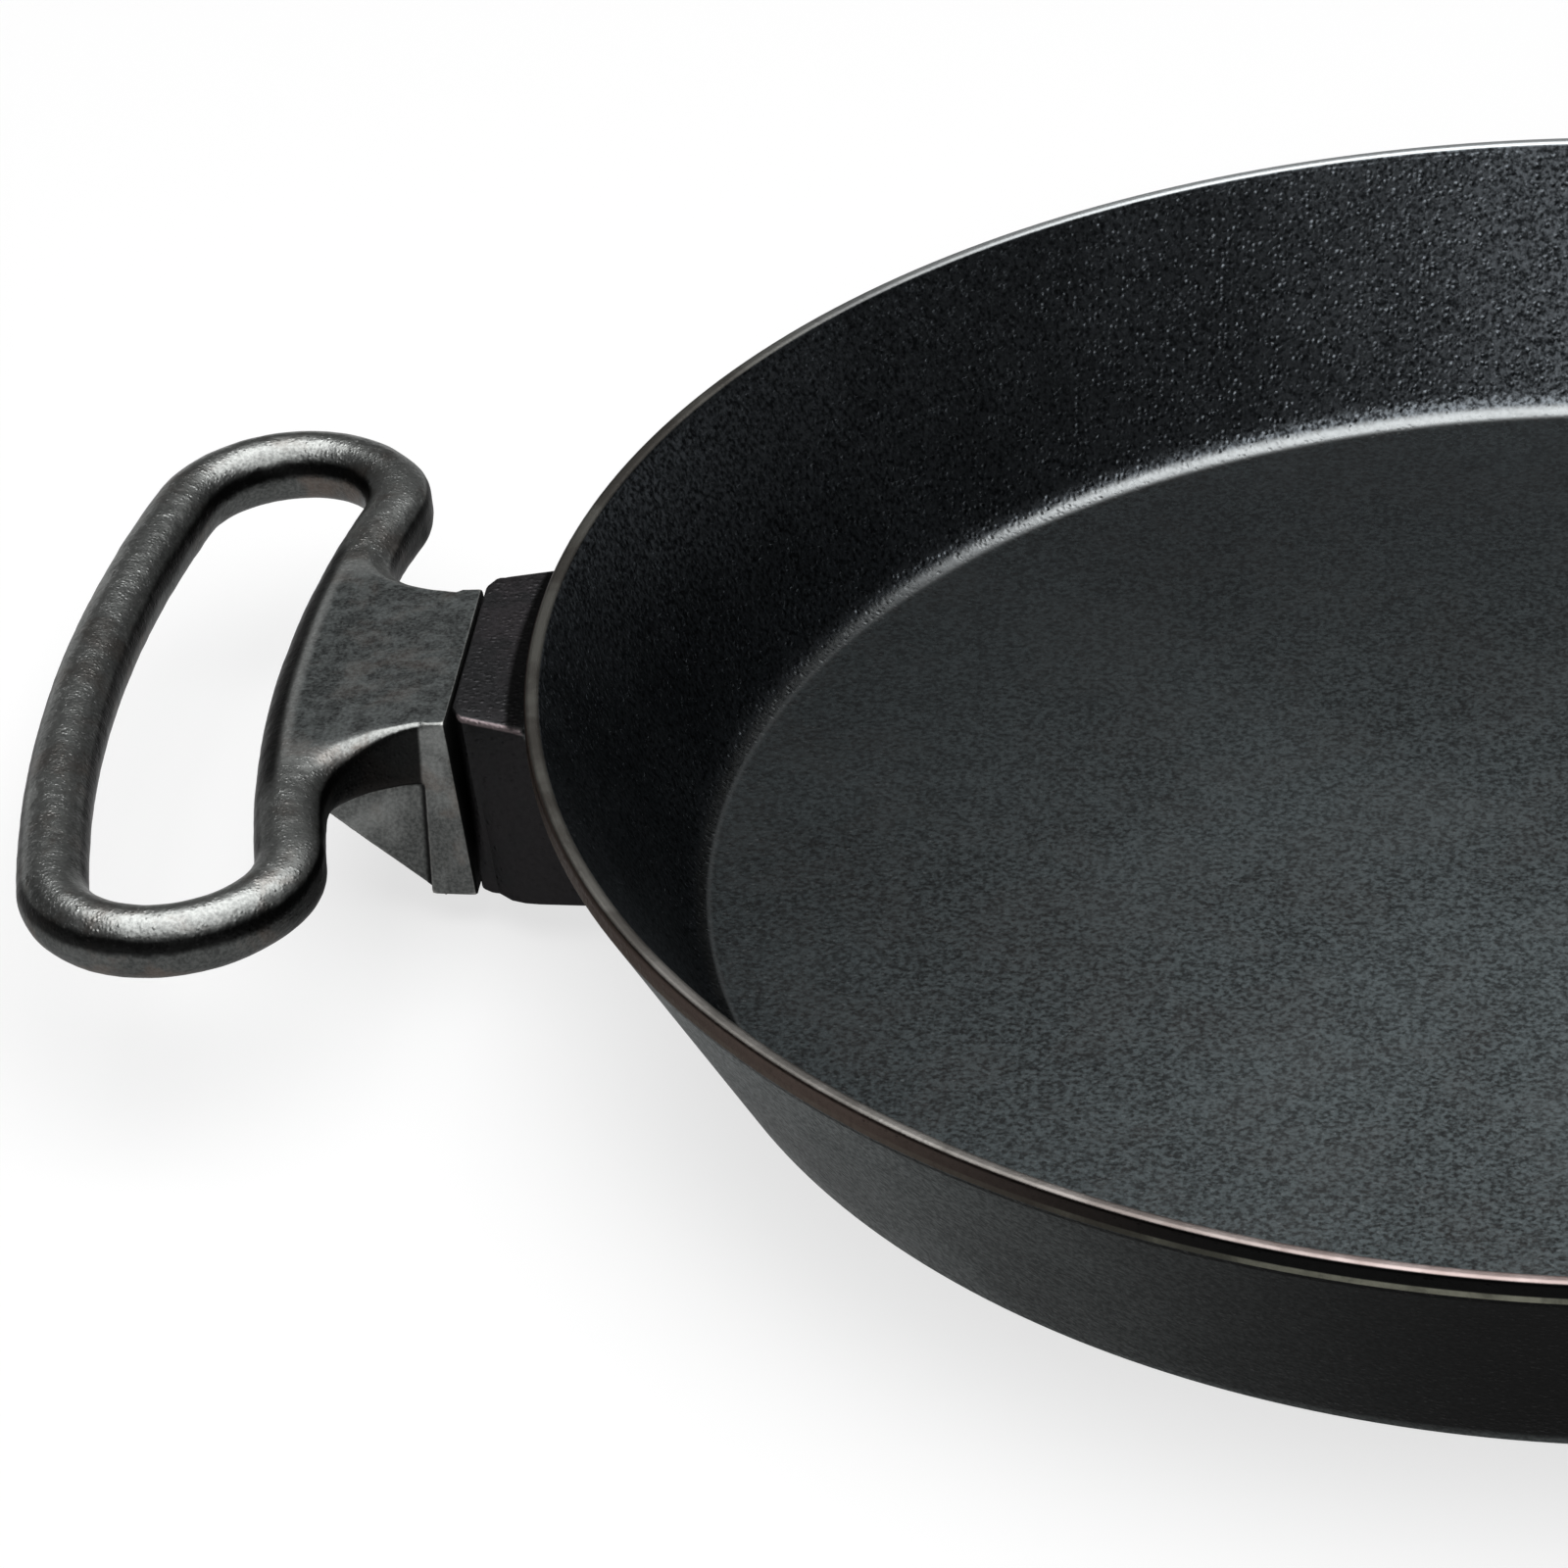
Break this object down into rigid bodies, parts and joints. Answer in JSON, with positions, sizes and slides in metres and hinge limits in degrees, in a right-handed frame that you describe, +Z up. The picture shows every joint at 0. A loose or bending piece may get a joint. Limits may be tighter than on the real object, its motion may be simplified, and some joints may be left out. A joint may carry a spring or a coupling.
{
  "type": "party pan",
  "caption": "Wide shallow cast iron pan with leaning walls and loop handles that bolt onto lugs on its wall and come off, for cooking and serving.",
  "frame": {"origin": "centre of the pan's underside", "axes": "+X through the right handle, the picture's left handle on -X, +Z up out of the pan"},
  "size_m": [0.6694, 0.46, 0.0585],
  "materials": {
    "pan_iron": "seasoned, fine sandy grain, brown tints on the rim",
    "handle_iron": "seasoned, satin, worn bright along the top",
    "bolt_steel": "oiled",
    "washer_steel": "plain",
    "spring_steel": "dark"
  },
  "bodies": {
    "pan": {"pan_body": "pan_iron"},
    "left_handle": {"left_handle": "handle_iron", "left_flat_washer": "washer_steel", "left_spring_washer": "spring_steel"},
    "left_bolt": {"left_bolt": "bolt_steel"},
    "right_handle": {"right_handle": "handle_iron", "right_flat_washer": "washer_steel", "right_spring_washer": "spring_steel"},
    "right_bolt": {"right_bolt": "bolt_steel"}
  },
  "joints": [
    {"name": "left_handle_pull", "type": "slide", "parent": "pan", "child": "left_handle", "axis": [-1, 0, 0], "range_m": [0, 0.03]},
    {"name": "left_bolt_turn", "type": "hinge", "parent": "left_handle", "child": "left_bolt", "pos_m": [-0.2557, 0, 0.022], "axis": [-1, 0, 0], "continuous": true},
    {"name": "right_handle_pull", "type": "slide", "parent": "pan", "child": "right_handle", "axis": [1, 0, 0], "range_m": [0, 0.03]},
    {"name": "right_bolt_turn", "type": "hinge", "parent": "right_handle", "child": "right_bolt", "pos_m": [0.2557, 0, 0.022], "axis": [1, 0, 0], "continuous": true}
  ]
}
